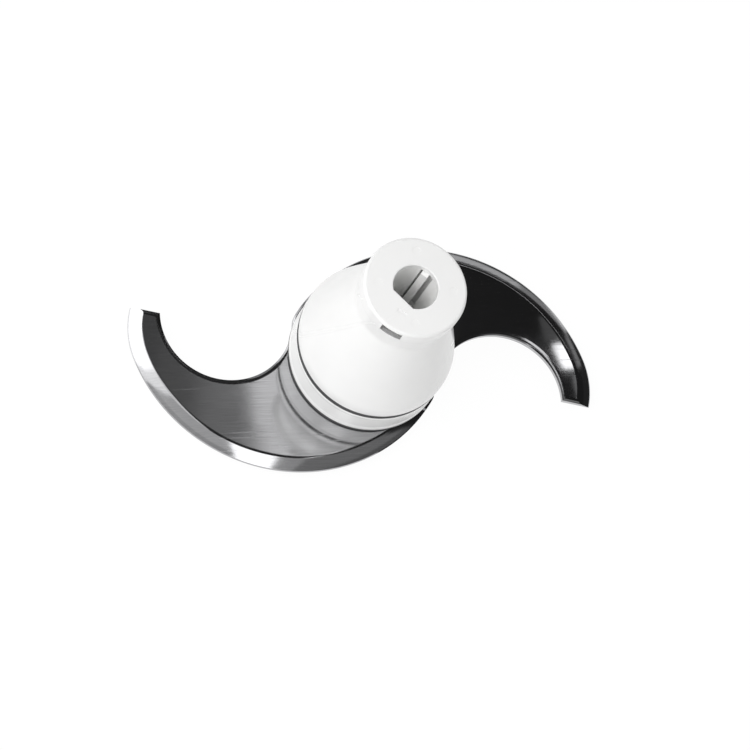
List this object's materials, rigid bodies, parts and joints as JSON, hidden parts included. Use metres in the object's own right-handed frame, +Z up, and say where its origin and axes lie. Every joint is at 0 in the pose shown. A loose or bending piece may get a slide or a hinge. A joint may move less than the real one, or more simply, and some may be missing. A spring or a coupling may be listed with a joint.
{
  "type": "food processor blade",
  "caption": "S-shaped steel cutting blade with ground outer edges on a white bell-shaped drive hub with a keyed bore.",
  "frame": {"origin": "centre of the hub's underside, on its axis, on the surface that it stands on", "axes": "+Z up the hub's axis towards the collar, +X along the line through the blade's two tips"},
  "size_m": [0.1692, 0.096, 0.0763],
  "materials": {
    "blade_steel": "fine brushed stainless with polished ground bevels",
    "hub_white": "glossy white moulded plastic",
    "seal_grey": "matt dark grey elastomer",
    "sleeve_white": "satin off-white acetal"
  },
  "bodies": {
    "root": {"s_blade": "blade_steel", "blade_carrier": "hub_white", "clamp_ring": "hub_white", "hub_cover": "hub_white", "seam_seal": "seal_grey", "drive_sleeve": "sleeve_white"}
  },
  "joints": []
}
